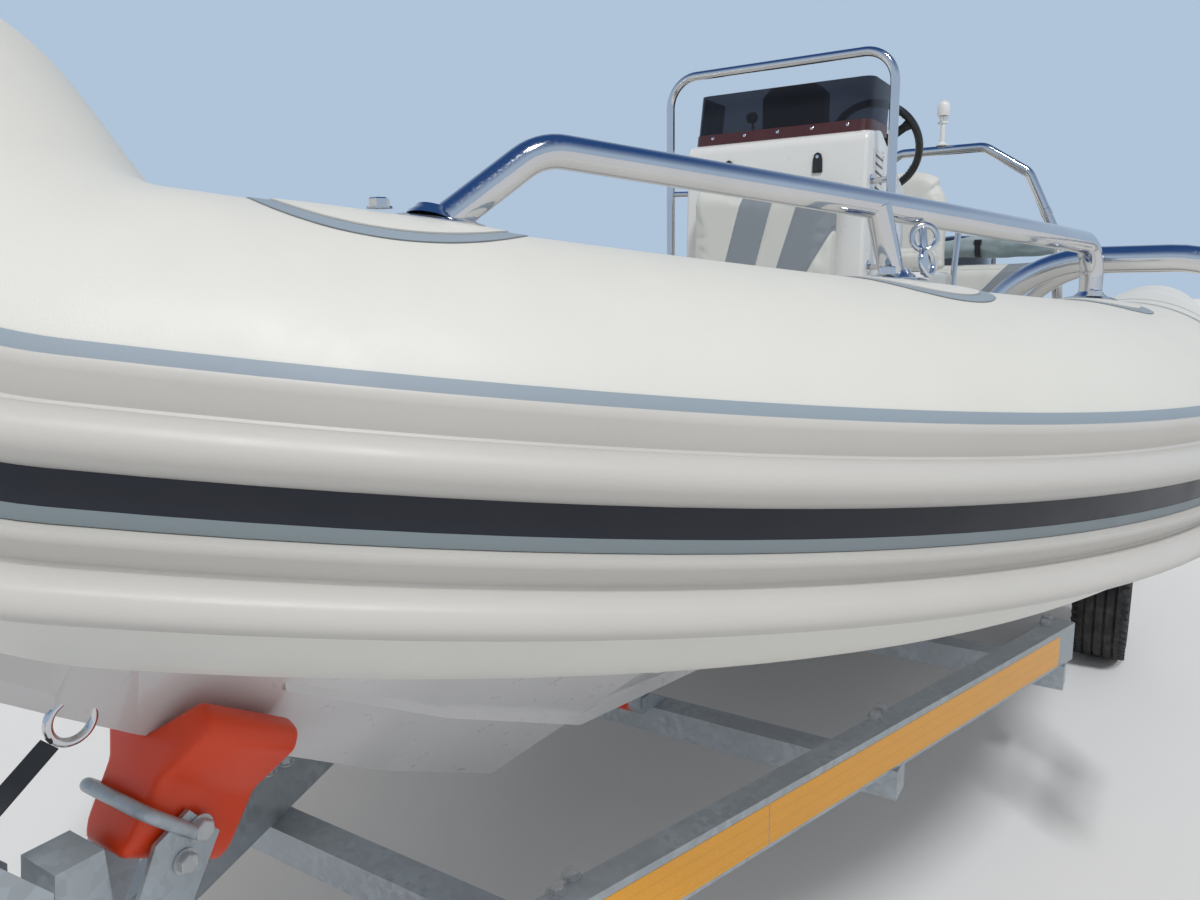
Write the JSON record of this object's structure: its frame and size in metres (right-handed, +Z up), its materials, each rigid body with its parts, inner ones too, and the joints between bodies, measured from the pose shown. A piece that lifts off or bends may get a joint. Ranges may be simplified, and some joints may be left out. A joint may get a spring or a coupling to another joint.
{
  "type": "rigid inflatable boat on a road trailer",
  "caption": "Rigid inflatable boat with centre console, stainless rails, stern arch and outboard, standing on its road trailer with winch post and jockey wheel.",
  "frame": {"origin": "on the floor under the middle of the overall box, between coupler nose and propeller tail", "axes": "+X forward to the bow and coupler, +Y to port, +Z up"},
  "size_m": [7.0892, 2.7718, 2.3666],
  "materials": {
    "tube_fabric": "satin",
    "strake_rubber": "satin",
    "band_fabric": "satin",
    "gelcoat": "gloss",
    "stainless": "polished",
    "smoked_acrylic": "gloss",
    "vinyl": "satin",
    "canvas": "matte",
    "black_plastic": "satin",
    "white_plastic": "gloss",
    "motor_paint": "gloss",
    "propeller_alloy": "satin",
    "galvanised": "matte",
    "spring_steel": "matte",
    "zinc": "satin",
    "strap_webbing": "matte",
    "black_rubber": "matte",
    "tyre": "matte",
    "rim_paint": "satin",
    "orange_urethane": "satin",
    "bunk_carpet": "matte"
  },
  "bodies": {
    "boat_on_trailer": {"tube_port": "tube_fabric", "tube_starboard": "tube_fabric", "strake_upper": "strake_rubber", "strake_lower": "strake_rubber", "side_band": "band_fabric", "hull": "gelcoat", "sole": "gelcoat", "foredeck": "gelcoat", "transom": "gelcoat", "handrail_port": "stainless", "handrail_starboard": "stainless", "rail_patches": "tube_fabric", "boarding_ladders": "stainless", "console": "gelcoat", "windscreen": "smoked_acrylic", "console_hoop": "stainless", "front_seat_base": "gelcoat", "front_cushion": "vinyl", "front_backrest": "vinyl", "helm_hub": "black_plastic", "throttle": "black_plastic", "plotter": "black_plastic", "helm_seat_base": "gelcoat", "helm_cushion": "vinyl", "helm_backrest": "vinyl", "helm_seat_rail": "stainless", "rear_bench": "gelcoat", "rear_cushion": "vinyl", "rear_backrest": "vinyl", "cover_roll": "canvas", "stern_arch": "stainless", "arch_light": "white_plastic", "motor_bracket": "motor_paint", "bow_eye": "stainless", "trailer_frame": "galvanised", "axle": "galvanised", "leaf_springs": "spring_steel", "mudguards": "galvanised", "winch_post": "galvanised", "bow_block": "orange_urethane", "winch_body": "zinc", "winch_strap": "strap_webbing", "coupler": "galvanised", "jockey_mast": "zinc", "keel_rollers": "orange_urethane", "bunks": "bunk_carpet", "light_board": "galvanised"},
    "locker_lid": {"locker_lid": "gelcoat"},
    "helm_wheel": {"helm_wheel": "black_plastic"},
    "motor_swivel": {"motor_swivel": "motor_paint"},
    "motor_leg": {"motor_leg": "motor_paint", "motor_cowl": "motor_paint"},
    "propeller": {"propeller": "propeller_alloy"},
    "wheel_port": {"tyre_port": "tyre", "rim_port": "rim_paint"},
    "wheel_starboard": {"tyre_starboard": "tyre", "rim_starboard": "rim_paint"},
    "winch_drum": {"winch_drum": "zinc"},
    "jockey_fork": {"jockey_fork": "zinc"},
    "jockey_wheel": {"jockey_wheel": "black_rubber"}
  },
  "joints": [
    {"name": "locker_lid_hinge", "type": "hinge", "parent": "boat_on_trailer", "child": "locker_lid", "pos_m": [1.80261, 0, 1.1406], "axis": [0, 1, 0], "range_deg": [0, 90]},
    {"name": "outboard_tilt", "type": "hinge", "parent": "boat_on_trailer", "child": "motor_swivel", "pos_m": [-3.00961, 0, 1.1003], "axis": [0, 1, 0], "range_deg": [0, 65]},
    {"name": "outboard_steer", "type": "hinge", "parent": "motor_swivel", "child": "motor_leg", "pos_m": [-3.11961, 0, 0.9203], "axis": [0, 0, 1], "range_deg": [-30, 30]},
    {"name": "propeller_spin", "type": "hinge", "parent": "motor_leg", "child": "propeller", "pos_m": [-3.46511, 0, 0.2703], "axis": [1, 0, 0], "continuous": true},
    {"name": "helm_wheel_turn", "type": "hinge", "parent": "boat_on_trailer", "child": "helm_wheel", "pos_m": [-0.77461, 0.148, 1.8993], "axis": [-0.9063, 0, 0.4226], "range_deg": [-540, 540]},
    {"name": "wheel_port_spin", "type": "hinge", "parent": "boat_on_trailer", "child": "wheel_port", "pos_m": [-1.07461, 1, 0.3], "axis": [0, 1, 0], "continuous": true},
    {"name": "wheel_starboard_spin", "type": "hinge", "parent": "boat_on_trailer", "child": "wheel_starboard", "pos_m": [-1.07461, -1, 0.3], "axis": [0, 1, 0], "continuous": true},
    {"name": "winch_turn", "type": "hinge", "parent": "boat_on_trailer", "child": "winch_drum", "pos_m": [2.36461, 0, 0.7873], "axis": [0, 1, 0], "continuous": true},
    {"name": "jockey_swivel", "type": "hinge", "parent": "boat_on_trailer", "child": "jockey_fork", "pos_m": [2.79461, 0.0935, 0.3203], "axis": [0, 0, 1], "continuous": true},
    {"name": "jockey_spin", "type": "hinge", "parent": "jockey_fork", "child": "jockey_wheel", "pos_m": [2.74961, 0.0935, 0.1], "axis": [0, 1, 0], "continuous": true}
  ],
  "couplings": [
    {"joint": "helm_wheel_turn", "follows": "outboard_steer", "ratio": -18}
  ]
}
